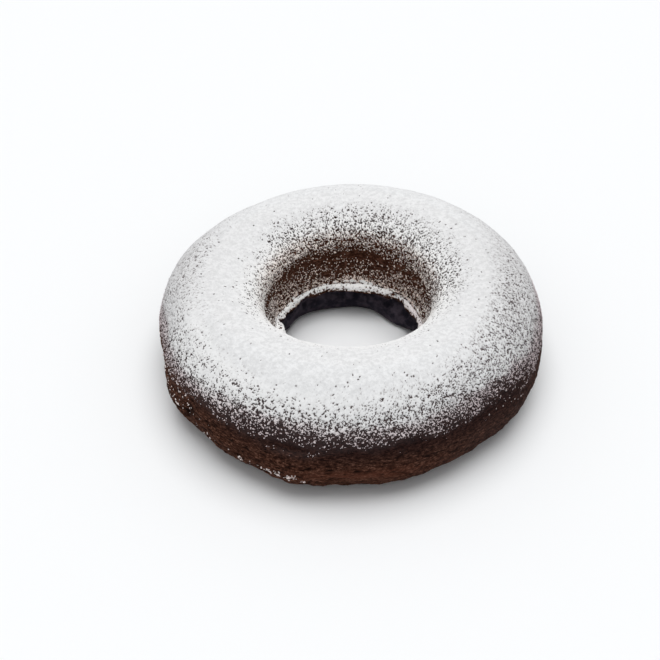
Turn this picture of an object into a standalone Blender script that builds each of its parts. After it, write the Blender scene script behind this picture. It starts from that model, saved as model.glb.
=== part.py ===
"""Chocolate ring cake, turned out of its tin.

One solid, in metres, +Z up, standing on z = 0 with the middle of its outline
over the origin. Azimuth 0 is +X and the front, as pictured, is -Y.

The section of the ring is described once, as a closed outline of (radius,
height) points, and carried round the hole. On the way round it swells and
sinks a little, as baked batter does, and the parts that were free while
baking, the domed underside and the ragged lip in the hole, get their crags.
"""
import math

import bmesh
import bpy
from mathutils import Vector, noise

# The ring, as the tin shaped it
OUTER_RADIUS = 0.130
CAKE_HEIGHT = 0.0758
CREST_RADIUS = 0.0940
WIDEST_HEIGHT = 0.0290

# The flat that it stands on
BASE_INNER_RADIUS = 0.0630
BASE_OUTER_RADIUS = 0.1085

# The wall of the hole: a rounded shoulder, a steep cone, then a ledge
SHOULDER_WIDTH = 0.0375
SHOULDER_DROP = 0.0242
WALL_SLOPE = math.radians(80)
WALL_FOOT_HEIGHT = 0.0275
LIP_RADIUS = 0.0493
LIP_TOP_HEIGHT = 0.0260
LIP_THICKNESS = 0.0060

# Points along each stretch of the section, and sections round the ring
BASE_STEPS = 3
UNDERSIDE_STEPS = 9
OUTER_WALL_STEPS = 11
SHOULDER_STEPS = 8
WALL_STEPS = 4
LIP_STEPS = 4
UNDERCUT_STEPS = 5
SECTIONS = 108

# Unevenness of the whole ring: waves round it, as (waves, size, phase)
OUTLINE_WAVES = ((1, 0.0010, 1.8), (3, 0.0013, 0.6))
FOOT_WAVES = ((1, 0.0009, -3.1), (2, 0.0006, 1.3), (3, 0.0006, 0.7), (4, 0.0005, -2.4))
CREST_WAVES = ((1, 0.0008, 2.3), (2, 0.0013, -0.6))
HOLE_WAVES = ((1, 0.0020, 3.0), (2, 0.0008, -0.8), (3, 0.0005, 2.7))

# Bulges and dents of the whole outer wall and of its foot, as (azimuth and half angle in degrees, size)
OUTLINE_HUMPS = (
    (-167, 10, -0.0018),
    (-38, 5, 0.0016),
    (126, 18, -0.0031),
)
FOOT_HUMPS = (
    (-166, 10, -0.0028),
    (-153, 12, 0.0028),
    (-137, 8.5, -0.0014),
    (-104.5, 8, 0.0037),
    (-72.5, 14.5, 0.0021),
    (-27, 9, 0.0017),
)

# Where the lip juts into the hole or draws back, in the same terms, and how far out from it
LIP_HUMPS = (
    (86, 18, -0.0034),
    (44, 9, 0.0026),
    (120, 12, 0.0008),
    (166, 3.5, 0.0040),
    (194, 21, -0.0075),
)
LIP_HUMP_REACH = 0.0045

# Where the foot of the undercut bulges in or draws back, and how far out and up that reaches
HEEL_HUMPS = (
    (48, 22, -0.0098),
    (98, 26, -0.0045),
    (150, 15, -0.0045),
)
HEEL_REACH = 0.070
HEEL_HEIGHT = 0.018

# Heights over which the foot's bulges grow from the flat, and fade out up the wall
FOOT_GROWTH = (0.0, 0.010)
FOOT_FADE = (0.016, 0.040)

# Where crags start and stop: off the flat, up the outer wall, round the lip
CRAG_GROWTH = (0.0005, 0.006)
UNDERSIDE_START = (0.090, 0.105)
UNDERSIDE_FADE = (0.024, 0.038)
HOLE_START = (0.056, 0.066)
UNDER_LIP_FADE = (0.0180, 0.0230)
LIP_FADE = (0.0275, 0.0355)

# Crags: depth and size on the domed underside, on the lip and under it
CRUMB_DEPTH = 0.0005
CRUMB_SIZE = 0.0110
LIP_RAGGEDNESS = 0.0007
LIP_CRAG_SIZE = 0.0090
UNDERCUT_RAGGEDNESS = 0.0026
UNDERCUT_CRAG_SIZE = 0.0120
UNDERCUT_GROWTH = (0.003, 0.015)
SKIN_DEPTH = 0.0003
SKIN_SIZE = 0.0300
CRAG_GAIN = 1.6
CRAG_ROUGHNESS = 0.8
CRAG_FINENESS = 2.1
CRAG_LAYERS = 3

CRUMB_COLOUR = (0.052, 0.021, 0.013, 1.0)
CRUMB_ROUGHNESS = 0.85


def clear_scene():
    """Remove every object, so that the file holds the cake alone."""
    for item in list(bpy.data.objects):
        bpy.data.objects.remove(item, do_unlink=True)


def smooth(low, high, value):
    """0 at or below low, 1 at or above high, and a soft step between."""
    share = min(max((value - low) / (high - low), 0.0), 1.0)
    return share * share * (3.0 - 2.0 * share)


def arc(start, end, leaves_level, steps):
    """Points of an elliptic quarter from start to end, without its last point.

    The arc sets off level where leaves_level is true and upright where it
    isn't, and it arrives the other way.
    """
    points = []
    for step in range(steps):
        turn = 0.5 * math.pi * step / steps
        ahead, aside = math.sin(turn), 1.0 - math.cos(turn)
        along_r, along_z = (ahead, aside) if leaves_level else (aside, ahead)
        points.append((start[0] + (end[0] - start[0]) * along_r,
                       start[1] + (end[1] - start[1]) * along_z))
    return points


def line(start, end, steps):
    """Points of a straight stretch from start to end, without its last point."""
    return [(start[0] + (end[0] - start[0]) * step / steps,
             start[1] + (end[1] - start[1]) * step / steps) for step in range(steps)]


def shoulder():
    """Points from the crest into the hole, down to where the wall is at its slope."""
    last_turn = math.atan(math.tan(WALL_SLOPE) * SHOULDER_WIDTH / SHOULDER_DROP)
    points = []
    for step in range(SHOULDER_STEPS + 1):
        turn = last_turn * step / SHOULDER_STEPS
        points.append((CREST_RADIUS - SHOULDER_WIDTH * math.sin(turn),
                       CAKE_HEIGHT - SHOULDER_DROP * (1.0 - math.cos(turn))))
    return points


def section():
    """The closed outline of the ring's section, as (radius, height) points.

    It runs outwards along the base, up the outer wall, over the crest, down
    the wall of the hole, round the lip and back under it to the base.
    """
    base_inner = (BASE_INNER_RADIUS, 0.0)
    base_outer = (BASE_OUTER_RADIUS, 0.0)
    widest = (OUTER_RADIUS, WIDEST_HEIGHT)
    crest = (CREST_RADIUS, CAKE_HEIGHT)
    inner = shoulder()
    wall_top = inner[-1]
    wall_fall = wall_top[1] - WALL_FOOT_HEIGHT
    wall_foot = (wall_top[0] - wall_fall / math.tan(WALL_SLOPE), WALL_FOOT_HEIGHT)
    nose = (LIP_RADIUS, LIP_TOP_HEIGHT - 0.5 * LIP_THICKNESS)
    nose_top = (LIP_RADIUS + 0.4 * LIP_THICKNESS, LIP_TOP_HEIGHT)
    nose_foot = (LIP_RADIUS + 0.5 * LIP_THICKNESS, LIP_TOP_HEIGHT - LIP_THICKNESS)
    return (line(base_inner, base_outer, BASE_STEPS)
            + arc(base_outer, widest, True, UNDERSIDE_STEPS)
            + arc(widest, crest, False, OUTER_WALL_STEPS)
            + inner[:-1]
            + line(wall_top, wall_foot, WALL_STEPS)
            + arc(wall_foot, nose_top, False, LIP_STEPS)
            + [nose_top, nose]
            + arc(nose_foot, base_inner, False, UNDERCUT_STEPS))


def waves(table, azimuth):
    """Sum of the waves in a table at an azimuth."""
    return sum(size * math.sin(count * azimuth + phase) for count, size, phase in table)


def hump(azimuth, centre, half_angle):
    """A smooth hump round the ring: 1 at its centre, nothing a few half angles off."""
    away = math.remainder(azimuth - centre, math.tau) / half_angle
    return math.exp(-away * away)


def humps(table, azimuth):
    """Sum of the humps in a table at an azimuth."""
    return sum(size * hump(azimuth, math.radians(centre), math.radians(half_angle))
               for centre, half_angle, size in table)


def shape(radius, height, azimuth):
    """Move a point of the section for the unevenness of the whole ring."""
    outside = smooth(CREST_RADIUS, OUTER_RADIUS, radius)
    inside = 1.0 - smooth(HOLE_START[0], CREST_RADIUS, radius)
    at_lip = 1.0 - smooth(LIP_RADIUS, LIP_RADIUS + LIP_HUMP_REACH, radius)
    low = smooth(*FOOT_GROWTH, height) * (1.0 - smooth(*FOOT_FADE, height))
    swell = waves(OUTLINE_WAVES, azimuth) + humps(OUTLINE_HUMPS, azimuth)
    swell += low * (waves(FOOT_WAVES, azimuth) + humps(FOOT_HUMPS, azimuth))
    at_heel = (1.0 - smooth(0.0, HEEL_HEIGHT, height)) * (1.0 - smooth(BASE_INNER_RADIUS, HEEL_REACH, radius))
    recess = waves(HOLE_WAVES, azimuth) * inside + humps(LIP_HUMPS, azimuth) * at_lip
    recess += humps(HEEL_HUMPS, azimuth) * at_heel
    lift = waves(CREST_WAVES, azimuth) * smooth(WIDEST_HEIGHT, CAKE_HEIGHT, height)
    return radius + swell * outside + recess, height + lift


def crag(place, size, seed):
    """Rough noise of about -1 to 1 at a place, with crags of the given size."""
    there = place / size + Vector((seed, 0.0, 0.0))
    return CRAG_GAIN * noise.fractal(there, CRAG_ROUGHNESS, CRAG_FINENESS, CRAG_LAYERS)


def relief(radius, height, place):
    """How far the surface stands out from the smooth section at a place."""
    underside = smooth(*UNDERSIDE_START, radius) * (1.0 - smooth(*UNDERSIDE_FADE, height))
    in_hole = 1.0 - smooth(*HOLE_START, radius)
    under_lip = in_hole * (1.0 - smooth(*UNDER_LIP_FADE, height))
    lip = in_hole * (1.0 - smooth(*LIP_FADE, height)) - under_lip
    depth = SKIN_DEPTH * crag(place, SKIN_SIZE, 3.0)
    depth += CRUMB_DEPTH * underside * crag(place, CRUMB_SIZE, 11.0)
    depth += LIP_RAGGEDNESS * lip * crag(place, LIP_CRAG_SIZE, 23.0)
    hanging = under_lip * smooth(*UNDERCUT_GROWTH, height)
    depth += UNDERCUT_RAGGEDNESS * hanging * crag(place, UNDERCUT_CRAG_SIZE, 37.0)
    return depth * smooth(*CRAG_GROWTH, height)


def outward_normals(outline):
    """Unit normals of the closed outline at its points, in (radius, height)."""
    normals = []
    for index, point in enumerate(outline):
        before = outline[index - 1]
        after = outline[(index + 1) % len(outline)]
        run, rise = after[0] - before[0], after[1] - before[1]
        length = math.hypot(run, rise)
        normals.append((rise / length, -run / length))
    return normals


def ring_points():
    """Every point of the cake's skin: one list of places for each section."""
    outline = section()
    rings = []
    for index in range(SECTIONS):
        azimuth = math.tau * index / SECTIONS
        cosine, sine = math.cos(azimuth), math.sin(azimuth)
        shaped = [shape(radius, height, azimuth) for radius, height in outline]
        ring = []
        for (radius, height), (out_r, out_z) in zip(shaped, outward_normals(shaped)):
            place = Vector((radius * cosine, radius * sine, height))
            depth = relief(radius, height, place)
            radius += depth * out_r
            ring.append(Vector((radius * cosine, radius * sine, height + depth * out_z)))
        rings.append(ring)
    return rings


def centred(rings):
    """The same points, moved so that the middle of their outline is over the origin."""
    places = [place for ring in rings for place in ring]
    middle = [0.5 * (min(place[axis] for place in places) + max(place[axis] for place in places))
              for axis in (0, 1)]
    shift = Vector((middle[0], middle[1], 0.0))
    return [[place - shift for place in ring] for ring in rings]


def crumb_material():
    """Dark chocolate crumb, dull all over."""
    material = bpy.data.materials.new("chocolate_crumb")
    material.use_nodes = True
    shader = material.node_tree.nodes["Principled BSDF"]
    shader.inputs["Base Color"].default_value = CRUMB_COLOUR
    shader.inputs["Roughness"].default_value = CRUMB_ROUGHNESS
    shader.inputs["Metallic"].default_value = 0.0
    return material


def make_cake():
    """Build the ring cake as one closed skin."""
    mesh = bmesh.new()
    rings = [[mesh.verts.new(place) for place in ring] for ring in centred(ring_points())]
    count = len(rings[0])
    for index, ring in enumerate(rings):
        following = rings[(index + 1) % len(rings)]
        for step in range(count):
            after = (step + 1) % count
            mesh.faces.new((ring[step], following[step], following[after], ring[after]))
    mesh.normal_update()
    data = bpy.data.meshes.new("ring_cake")
    mesh.to_mesh(data)
    mesh.free()
    data.shade_smooth()
    data.materials.append(crumb_material())
    cake = bpy.data.objects.new("ring_cake", data)
    bpy.context.scene.collection.objects.link(cake)
    return cake


def main():
    clear_scene()
    make_cake()


main()
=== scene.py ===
"""Looks of a chocolate ring cake dusted with icing sugar.

Metres, +Z up. Azimuth 0 is +X and the front, as pictured, is -Y. The crust is
one closed skin with the solid's section and a finer surface. The icing sugar
is real too: a thin sheet of powder that breaks up where the crust gets steep,
and thousands of small clumps sifted over its fringes.
"""
import math

import bpy
import numpy as np
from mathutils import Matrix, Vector, noise


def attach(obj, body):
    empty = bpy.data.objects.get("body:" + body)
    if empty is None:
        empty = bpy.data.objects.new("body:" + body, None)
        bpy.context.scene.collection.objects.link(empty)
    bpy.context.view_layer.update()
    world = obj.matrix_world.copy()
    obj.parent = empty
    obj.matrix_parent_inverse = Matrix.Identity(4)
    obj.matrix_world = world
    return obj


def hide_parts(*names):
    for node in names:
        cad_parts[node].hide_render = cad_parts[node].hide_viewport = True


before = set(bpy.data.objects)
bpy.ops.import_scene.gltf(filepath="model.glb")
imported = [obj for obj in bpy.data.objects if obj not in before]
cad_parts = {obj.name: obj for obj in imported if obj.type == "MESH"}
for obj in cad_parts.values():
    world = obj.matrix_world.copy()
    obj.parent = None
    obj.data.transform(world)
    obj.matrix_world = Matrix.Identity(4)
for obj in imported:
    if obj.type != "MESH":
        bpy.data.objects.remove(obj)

MILLIMETRE = 0.001

# Numbers that stir the bits of a cell: for each axis, for the seed, and then as (shift, number)
AXIS_STIRRERS = (0x9E3779B1, 0x85EBCA77, 0xC2B2AE3D)
SEED_STIRRER = 0x27D4EB2F
STIRRERS = ((15, 0x2C1B3C6D), (12, 0x297A2D39))
LAST_SHIFT = 15

# The ring's section, as in the solid
OUTER_RADIUS = 0.130
CAKE_HEIGHT = 0.0758
CREST_RADIUS = 0.0940
WIDEST_HEIGHT = 0.0290
BASE_INNER_RADIUS = 0.0630
BASE_OUTER_RADIUS = 0.1085
SHOULDER_WIDTH = 0.0375
SHOULDER_DROP = 0.0242
WALL_SLOPE = math.radians(80)
WALL_FOOT_HEIGHT = 0.0275
LIP_RADIUS = 0.0493
LIP_TOP_HEIGHT = 0.0260
LIP_THICKNESS = 0.0060

# Unevenness of the whole ring, as in the solid
OUTLINE_WAVES = ((1, 0.0010, 1.8), (3, 0.0013, 0.6))
FOOT_WAVES = ((1, 0.0009, -3.1), (2, 0.0006, 1.3), (3, 0.0006, 0.7), (4, 0.0005, -2.4))
CREST_WAVES = ((1, 0.0008, 2.3), (2, 0.0013, -0.6))
HOLE_WAVES = ((1, 0.0020, 3.0), (2, 0.0008, -0.8), (3, 0.0005, 2.7))
OUTLINE_HUMPS = ((-167, 10, -0.0018), (-38, 5, 0.0016), (126, 18, -0.0031))
FOOT_HUMPS = (
    (-166, 10, -0.0028),
    (-153, 12, 0.0028),
    (-137, 8.5, -0.0014),
    (-104.5, 8, 0.0037),
    (-72.5, 14.5, 0.0021),
    (-27, 9, 0.0017),
)
LIP_HUMPS = ((86, 18, -0.0034), (44, 9, 0.0026), (120, 12, 0.0008), (166, 3.5, 0.0040), (194, 21, -0.0075))
LIP_HUMP_REACH = 0.0045
HEEL_HUMPS = ((48, 22, -0.0098), (98, 26, -0.0045), (150, 15, -0.0045))
HEEL_REACH = 0.070
HEEL_HEIGHT = 0.018
FOOT_GROWTH = (0.0, 0.010)
FOOT_FADE = (0.016, 0.040)
CRAG_GROWTH = (0.0005, 0.006)
UNDERSIDE_START = (0.090, 0.105)
UNDERSIDE_FADE = (0.024, 0.038)
HOLE_START = (0.056, 0.066)
UNDER_LIP_FADE = (0.0180, 0.0230)
LIP_FADE = (0.0275, 0.0355)
CRUMB_DEPTH = 0.0005
CRUMB_SIZE = 0.0110
LIP_RAGGEDNESS = 0.0007
LIP_CRAG_SIZE = 0.0090
UNDERCUT_RAGGEDNESS = 0.0026
UNDERCUT_CRAG_SIZE = 0.0120
UNDERCUT_GROWTH = (0.003, 0.015)
SKIN_DEPTH = 0.0003
SKIN_SIZE = 0.0300
CRAG_GAIN = 1.6
CRAG_ROUGHNESS = 0.8
CRAG_FINENESS = 2.1
CRAG_LAYERS = 3

# Meshes: points along each stretch of the outline, and sections round the ring
OUTLINE_STEPS = 160
CRUST_SECTIONS = 540
SHEET_SECTIONS = 1440
SHEET_JITTER = 0.5

# Spacing of the crust's points along its section, which grows over the heights where sugar hides it
FOOT_SPACING = 0.69 * MILLIMETRE
CRUST_SPACING = 1.15 * MILLIMETRE
HIDDEN_GROWTH = 2.0 * MILLIMETRE
HIDDEN_OUTSIDE = (0.050, 0.060)
HIDDEN_INSIDE = (0.056, 0.064)
BASE_SPACING = 5.0 * MILLIMETRE
BASE_TOP = 0.0003

# Spacing of the sugar sheet's points along the section
OUTSIDE_SPACING = 0.53 * MILLIMETRE
CROWN_SPACING = 0.64 * MILLIMETRE
INSIDE_SPACING = 0.52 * MILLIMETRE
LEDGE_SPACING = 0.30 * MILLIMETRE

# Sides of the ring, by the sine or cosine of the azimuth: where each starts, and where it counts in full
FRONT = (0.0, 0.6)
BACK = (-0.2, 0.5)
RIGHT = (-0.1, 0.8)
FOOT_RIGHT = (0.1, 0.9)

# The wrinkled, redder band of crust that touched the tin's rim; it rises on one side.
# A name that ends in _SIDE holds (azimuth, half angle) in degrees
FOOT_RADII = (0.100, 0.112)
FOOT_HEIGHTS = (0.024, 0.044)
FOOT_RISE = 0.010
FOOT_RISE_SIDE = (-150, 30)
WRINKLE_STRETCH = 3.0

# The crust's own relief, as (depth, size, layers of noise)
CRUST_RELIEF = (0.00005, 0.0040, 2)
FOOT_WRINKLES = (0.00055, 0.0070, 3)
UNDERCUT_RELIEF = (0.0009, 0.0050, 3)
LIP_RELIEF = (0.00025, 0.0030, 2)

# Pits in the crust, as (size, share of the places that hold one), and their depths
LARGE_FOOT_PITS = (0.0062, 0.42)
SMALL_FOOT_PITS = (0.0038, 0.35)
SMALL_PIT_STRENGTH = 0.7
FOOT_PIT_DEPTH = 0.00110
UNDERCUT_PITS = (0.0060, 0.5)
UNDERCUT_PIT_DEPTH = 0.0014
PIT_LEAST_REACH = 0.35
PIT_REACH_SPREAD = 0.35

# The fold at the left, as (azimuth and half angle in degrees, height and half height, size)
FOLDS = (
    (-142.5, 2.4, 0.0315, 0.0030, 0.0012),
    (-142.0, 1.8, 0.0255, 0.0024, -0.0018),
    (-139.5, 1.1, 0.0305, 0.0042, -0.0014),
)
# Depth of a crease at which its painted shade is full
FOLD_SHADE_DEPTH = 0.0015

# How strongly each colour of the crust shows; the glow is a redder patch low at the front
DUSTING_OUTSIDE = 0.24
DUSTING_INSIDE = 0.04
DUSTING_FOOT = 0.04
REDNESS_LOSS = 0.55
WALL_STRENGTH = 0.9
UNDERCUT_STRENGTH = 0.9
# Strength of the painted shade in the foot's pits and the fold's creases
PIT_SHADE_STRENGTH = 1.6
GLOW_STRENGTH = 0.50
GLOW_SIDE = (-86, 16)
GLOW_HEIGHTS = (0.0225, 0.0045)

# The share of the crust that sugar hides at each slope, in degrees; over 1 it has no gaps
OUTSIDE_COVER = ((10, 1.13), (28, 1.03), (36, 0.95), (42, 0.865), (48, 0.795), (54, 0.735),
                 (60, 0.60), (66, 0.365), (72, 0.21), (76, 0.12), (78, 0.05), (80, 0.0))
INSIDE_COVER = ((4, 1.10), (9, 1.02), (14, 0.95), (20, 0.86), (28, 0.74), (42, 0.55), (54, 0.37),
                (66, 0.27), (76, 0.16), (80, 0.10))
MOST_COVER = 1.16

# Sides where the steep outside counts as steeper or flatter, as (azimuth, half angle, change), all in
# degrees, and the slopes over which that starts and eases off
LEAN_HUMPS = ((-38, 14, 8.0), (2, 15, 11.0), (-144, 18, -1.0), (-172, 10, 3.5))
LEAN_START = (50.0, 60.0)
LEAN_END = (70.0, 80.0)
LEAN_EASING = 0.6

# Degrees by which the outside counts as flatter at the left and right, and the inside at the left and front
FLATTER_OUTSIDE = 7.0
FLATTER_INSIDE = 12.0

# Where the powder on the top is thinner than the slope says: at the left, and at the right beyond the crest
LEFT_SIDE = (180, 38)
LEFT_LOSS = 0.25
RIGHT_SIDE = (-15, 33)
RIGHT_LOSS = 0.285
RIGHT_LOSS_RADII = (0.085, 0.105)
LOSS_SLOPES = (30.0, 60.0)

# Heights over which the powder outside ends; it reaches lower on one side
OUTSIDE_LEAST_HEIGHTS = (0.032, 0.040)
OUTSIDE_LOWERING = 0.0045
LOWERED_SIDE = (-30, 24)

# The stretches of the section that carry a sheet of powder, and the bands that it is made in
SHEET_BANDS = ("outside", "crown", "inside", "ledge")
CROWN_OUTER_RADIUS = 0.1070
CROWN_INNER_RADIUS = 0.0850
SHEET_LEAST_HEIGHT = 0.0340
INSIDE_LEAST_HEIGHT = 0.0500
LEDGE_OUTER_RADIUS = LIP_RADIUS + 0.005
LEDGE_MOST_HEIGHT = WALL_FOOT_HEIGHT + 0.0050
LEDGE_LEAST_HEIGHT = 0.0208
LEDGE_MARGIN = 0.0005

# The bank of powder on the ledge: how far up the wall it reaches, how ragged its edge is, as (depth,
# size, layers), and the slopes over which it thins
LEDGE_REACH = 0.0012
LEDGE_REACH_HUMPS = ((82, 14, 0.0008), (22, 22, 0.0012), (112, 9, -0.0010))
LEDGE_EDGE = (0.0007, 0.0035, 1)
LEDGE_COVER = 1.02
LEDGE_SLOPES = (64.0, 98.0)

# The share of the hole's wall hidden by specks, by height in millimetres
WALL_COVER = ((29, 0.28), (31, 0.22), (34, 0.17), (37, 0.14), (40, 0.11), (43, 0.080),
              (46, 0.036), (49, 0.042), (52, 0.075), (55, 0.15))
WALL_TOP = (0.050, 0.057)
MOST_WALL_COVER = 0.9

# That share's factor, and what the left and right add to it above the ledge; the rows that the specks
# lie in, as (strength, size, layers); and a bank of specks at the back
WALL_FACTOR = 0.80
WALL_FACTOR_ASIDE = 1.35
WALL_ASIDE_HEIGHTS = (0.030, 0.038)
WALL_ROWS = (0.65, 0.0048, 1)
WALL_ROW_STRETCH = 3.5
BANK_SHARE = 0.16
BANK_SIDE = (82, 20)
BANK_HEIGHTS = (0.0300, 0.0016)

# Bare specks in the powder, as (size, share of the places that hold one); the ledge's large ones crowd
# on one side
CROWN_SPECKS = (0.0016, 0.03)
CROWN_SPECKS_LEAST_COVER = 0.85
SMALL_LEDGE_SPECKS = (0.0013, 0.44)
LARGE_LEDGE_SPECK_SIZE = 0.0027
LARGE_LEDGE_SPECKS = 0.30
CROWDED_LEDGE_SPECKS = 0.50
CROWDED_SIDE = (112, 14)
SPECK_STRENGTH = 1.3

# Grain of the fringes: how much the chance of each point counts, and noise as (strength, size, layers)
GRAIN = 0.50
GRAIN_BACK = 0.30
GRAIN_RIGHT = 0.50
OUTSIDE_LUMPS = (0.80, 0.00098, 1)
OUTSIDE_PATCHES = (0.15, 0.0034, 1)
LUMPY_SIDE = (-132, 30)
LUMPY_SIDE_LUMPS = (0.25, 0.0016, 1)
INSIDE_LUMPS = (1.0, 0.00076, 1)
FRINGE_SOFTNESS = 0.20

# Height of the powder over the crust, how far it sinks into the crust at its gaps, the covers over which
# it does either, and its swell as (depth, size, layers)
SHEET_THICKNESS = 0.00022
SHEET_UNEVENNESS = 0.00012
SHEET_RISE_COVERS = (0.0, 0.6)
SHEET_SINK = 0.00036
SHEET_SINK_COVERS = (0.0, 0.5)
SHEET_SWELL = (0.00006, 0.0060, 3)
LEDGE_SWELL = (0.00042, 0.0011, 1)
LEDGE_SWELL_TOP = 0.035
SHEET_CUT_DEPTH = 0.00004

# Covers at which the powder starts to look white and does so fully, and how much painted shade greys it at
# the left and right
WHITE_START = -0.1
WHITE_OUTSIDE = 0.6
WHITE_INSIDE = 0.3
SIDE_SHADE = 0.18
SIDE_SHADE_RADII = (0.074, 0.112)

# Tints of the powder: pinkish in the outer fringe, lilac at the right of the ledge, cream low in the hole
# and most of all at its back; and painted light, which makes it brighter in lumps at the front and left
# outside, on the slope inside and on the ledge
BLUSH_SHARES = (0.15, 0.70)
LILAC_STRENGTH = 0.6
LILAC_SIDE = (20, 18)
CREAM_HEIGHTS = (0.058, 0.068)
CREAM_SHARES = (0.50, 0.95)
CREAM_LEAST = 0.05
CREAM_LEAST_FRONT = 0.3
CREAM_LEAST_ABOVE = 0.6
CREAM_WALL_HEIGHTS = (0.048, 0.056)
PAINTED_LIGHT_FRONT = 0.25
PAINTED_LIGHT_LEFT = 0.30
PAINTED_LIGHT_SHARES = (0.88, 1.02)
PAINTED_LIGHT_SLOPES = (15.0, 45.0)

# Clumps and grains: their form for a size of 1, the area that one hides, and how they vary
CLUMP_SIDES = 6
CLUMP_TOP = 0.75
CLUMP_FOOT = -0.6
CLUMP_LIFT = 0.25
CLUMP_AREA = 2.9
CLUMP_SPREAD = 0.30
CLUMP_RAGGEDNESS = 0.28
CLUMP_MOST_JITTER = 1.8
CLUMP_LEAST_WHITE = 0.60
OUTER_CLUMP_SIZE = 0.00034
INNER_CLUMP_SIZE = 0.00028
WALL_GRAIN_SIZE = 0.00031
FOOT_GRAIN_SIZE = 0.00045

# How much of the fringes the clumps hide, for the share that sugar hides in all
FRINGE_CLUMPS = 0.40
FRINGE_START = (0.06, 0.20)
FRINGE_END = (0.35, 0.85)
LEDGE_GRAINS = 0.25
MOST_WALL_GRAINS = 0.60

# Stray grains round the foot and low at the right, as (azimuth and half angle in degrees, height and
# half height, share hidden), and their tints; they are dimmer at the right
FOOT_GRAINS = (
    (-101.8, 0.6, 0.0162, 0.0012, 0.66),
    (-105.0, 1.5, 0.0190, 0.0018, 0.55),
    (-108.5, 0.7, 0.0195, 0.0016, 0.64),
    (-111.0, 0.6, 0.0185, 0.0014, 0.60),
    (-114.0, 3.0, 0.0170, 0.0014, 0.16),
    (-119.0, 0.6, 0.0185, 0.0012, 0.60),
    (-127.0, 8.0, 0.0190, 0.0016, 0.08),
    (-132.5, 0.5, 0.0210, 0.0012, 0.45),
    (-146.5, 0.8, 0.0250, 0.0013, 0.50),
    (-142.5, 2.2, 0.0325, 0.0022, 0.18),
    (-154.0, 13.0, 0.0320, 0.0090, 0.06),
    (-31.0, 12.0, 0.0420, 0.0060, 0.07),
)
FOOT_GRAIN_BLUSH = 0.4
FOOT_GRAIN_CREAM = 0.45
DIM_SIDE = (-31, 30)
DIM_LOSS = 0.75

# Colours, as red, green and blue; a ramp's stops are (position, colour)
CRUST_STOPS = (
    (0.42, (0.0085, 0.0034, 0.0031)),
    (0.5, (0.018, 0.0076, 0.0068)),
    (0.58, (0.04, 0.018, 0.0155)),
)
FOOT_STOPS = (
    (0.41, (0.008, 0.0026, 0.0017)),
    (0.46, (0.035, 0.0122, 0.0074)),
    (0.5, (0.062, 0.0245, 0.015)),
    (0.545, (0.094, 0.0415, 0.027)),
    (0.6, (0.205, 0.102, 0.072)),
)
WALL_STOPS = (
    (0.42, (0.022, 0.0064, 0.0032)),
    (0.5, (0.055, 0.0195, 0.0104)),
    (0.57, (0.14, 0.065, 0.042)),
)
UNDERCUT_STOPS = (
    (0.42, (0.023, 0.0215, 0.031)),
    (0.58, (0.068, 0.056, 0.072)),
)
SUGAR_STOPS = (
    (0.4, (0.69, 0.692, 0.696)),
    (0.6, (0.82, 0.823, 0.828)),
)
GLOW_COLOUR = (0.135, 0.044, 0.026)
# Painted shade in the foot's pits and the fold's creases
PIT_SHADE_COLOUR = (0.009, 0.0036, 0.0026)
DUSTED_COLOUR = (0.52, 0.45, 0.46)
THIN_SUGAR_COLOUR = (0.29, 0.262, 0.262)
# Painted light: a brighter white laid on the ledge, the slope into the hole, the stray grains, and lumps at
# the front and left
PAINTED_LIGHT_SUGAR_COLOUR = (0.95, 0.95, 0.945)
BLUSH_TINT = (0.94, 0.82, 0.835)
CREAM_TINT = (1.0, 0.865, 0.79)
FLOOR_COLOUR = (0.885, 0.893, 0.9)

# Floor, and lights as (name, where from, angle that it is spread over in degrees, strength)
FLOOR_HALF_WIDTH = 12.0
FLOOR_GAP = 0.0002
ROOM_COLOUR = (0.98, 0.99, 1.0)
ROOM_STRENGTH = 0.42
SUNS = (
    ("top_light", (0.03, 0.14, 1.0), 52.0, 2.08),
    ("front_light", (-0.10, -0.75, 0.85), 60.0, 0.18),
)

# Camera: as far out as the photograph's perspective says, aimed at the ring's middle
CAMERA_TARGET = Vector((0.0, 0.0, 0.026))
CAMERA_DISTANCE = 0.780
CAMERA_ELEVATION = math.radians(40.6)
IMAGE_WIDTH = 660.0
FOCAL_PIXELS = 1143.0
PICTURED_MIDDLE = (350.6, 330.8)
SENSOR_WIDTH = 36.0


def smooth(low, high, value):
    """0 at or below low, 1 at or above high, and a soft step between."""
    share = np.clip((value - low) / (high - low), 0.0, 1.0)
    return share * share * (3.0 - 2.0 * share)


def rising(least, share):
    """From least to 1 as share goes from 0 to 1."""
    return least + (1.0 - least) * share


# Random numbers and noise, the same on each run

def hashed(cells, seed):
    """A fixed random number from 0 to 1 for each whole-numbered cell."""
    whole = cells.astype(np.int64).astype(np.uint32)
    bits = np.uint32(seed * SEED_STIRRER % 2 ** 32)
    for axis, stirrer in enumerate(AXIS_STIRRERS):
        bits = bits ^ (whole[..., axis] * np.uint32(stirrer))
    for shift, stirrer in STIRRERS:
        bits = (bits ^ (bits >> np.uint32(shift))) * np.uint32(stirrer)
    bits = bits ^ (bits >> np.uint32(LAST_SHIFT))
    return bits.astype(np.float64) / 2.0 ** 32


def value_noise(places, size, seed):
    """Smooth noise from -1 to 1 with features of the given size."""
    there = places / size
    cells = np.floor(there)
    share = there - cells
    share = share * share * (3.0 - 2.0 * share)
    total = np.zeros(places.shape[:-1])
    for corner in np.ndindex(2, 2, 2):
        weight = np.ones(places.shape[:-1])
        for axis, side in enumerate(corner):
            weight = weight * (share[..., axis] if side else 1.0 - share[..., axis])
        total += weight * hashed(cells + np.array(corner), seed)
    return 2.0 * total - 1.0


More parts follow.
